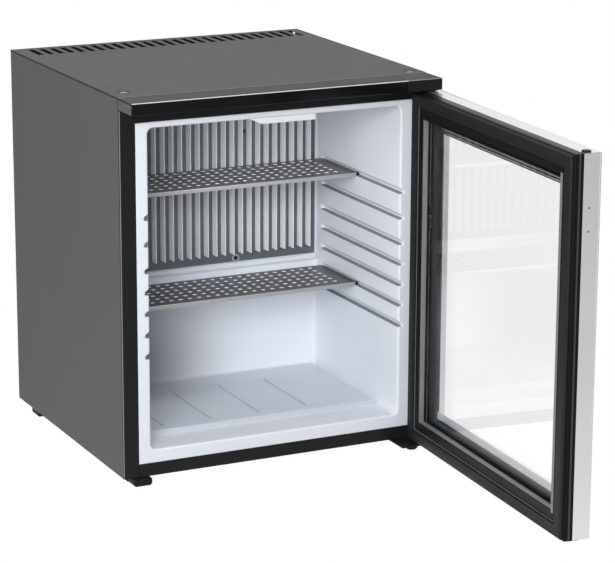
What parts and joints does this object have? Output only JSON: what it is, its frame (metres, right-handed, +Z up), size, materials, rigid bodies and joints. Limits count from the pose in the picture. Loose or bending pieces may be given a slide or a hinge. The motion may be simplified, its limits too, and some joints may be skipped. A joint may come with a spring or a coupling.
{
  "type": "minibar fridge",
  "caption": "Glass-door absorption minibar fridge of about 60 litres, right-hinged door open about 87 degrees, two sliding perforated shelves, finned evaporator.",
  "frame": {"origin": "middle of the bounding box at the floor, door open as stored", "axes": "+X to the user's right, +Y to the back, +Z up; the cabinet's front faces -Y"},
  "size_m": [0.4994, 0.954, 0.575],
  "materials": {
    "grey_steel": "satin",
    "black_steel": "satin",
    "gloss_black": "gloss",
    "black_plastic": "matte",
    "white_plastic": "gloss",
    "lamp_white": "gloss",
    "foam": "matte",
    "fin_aluminium": "satin",
    "shelf_steel": "satin",
    "satin_aluminium": "satin",
    "rubber": "matte",
    "glass": "polished",
    "zinc": "satin",
    "painted_pipe": "matte",
    "galvanised": "satin"
  },
  "bodies": {
    "cabinet": {"side_panel_left": "grey_steel", "side_panel_right": "grey_steel", "base_panel": "galvanised", "back_panel": "galvanised", "top_cover": "grey_steel", "top_cap_left": "black_plastic", "top_cap_right": "black_plastic", "front_stile_left": "black_steel", "front_stile_right": "black_steel", "front_rail_top": "black_steel", "front_rail_bottom": "black_steel", "front_trim": "grey_steel", "fascia_strip": "gloss_black", "hinge_cover": "black_plastic", "liner": "white_plastic", "insulation": "foam", "evaporator_plate": "fin_aluminium", "evaporator_screw": "zinc", "cold_block": "fin_aluminium", "drip_gutter": "white_plastic", "drain_spout": "black_plastic", "drain_hose": "rubber", "lamp_housing": "lamp_white", "lamp_lens": "lamp_white", "upper_hinge_bracket": "black_steel", "upper_hinge_pin": "zinc", "lower_hinge_bracket": "black_steel", "lower_hinge_pin": "zinc", "foot_front_left": "rubber", "foot_front_right": "rubber", "foot_rear_left": "rubber", "foot_rear_right": "rubber", "boiler_casing": "galvanised", "boiler_bracket": "galvanised", "heating_element": "zinc", "rectifier_tube": "painted_pipe", "condenser": "painted_pipe", "evaporator_pipe": "painted_pipe", "absorber_coil": "painted_pipe", "absorber_vessel": "painted_pipe", "vessel_cradle": "galvanised", "evaporation_tray": "black_plastic", "control_box": "black_plastic", "rear_crossbar_lower": "galvanised", "rear_crossbar_upper": "galvanised"},
    "door": {"door_profile_top": "satin_aluminium", "door_profile_bottom": "satin_aluminium", "door_profile_hinge_side": "satin_aluminium", "door_profile_free_side": "satin_aluminium", "door_inner_frame": "black_plastic", "door_gasket": "rubber", "glass_pane_inner": "glass", "glass_pane_outer": "glass", "glass_spacer": "galvanised", "hinge_bush_top": "black_plastic", "hinge_bush_bottom": "black_plastic", "door_plug_top": "black_plastic", "door_plug_bottom": "black_plastic"},
    "shelf_upper_body": {"shelf_upper": "shelf_steel"},
    "shelf_lower_body": {"shelf_lower": "shelf_steel"}
  },
  "joints": [
    {"name": "door_hinge", "type": "hinge", "parent": "cabinet", "child": "door", "pos_m": [0.23064, 0.00359, 0.3], "axis": [0, 0, 1], "range_deg": [-87.1, 32.9]},
    {"name": "shelf_upper_slide", "type": "slide", "parent": "cabinet", "child": "shelf_upper_body", "axis": [0, -1, 0], "range_m": [0, 0.13]},
    {"name": "shelf_lower_slide", "type": "slide", "parent": "cabinet", "child": "shelf_lower_body", "axis": [0, -1, 0], "range_m": [0, 0.13]}
  ]
}
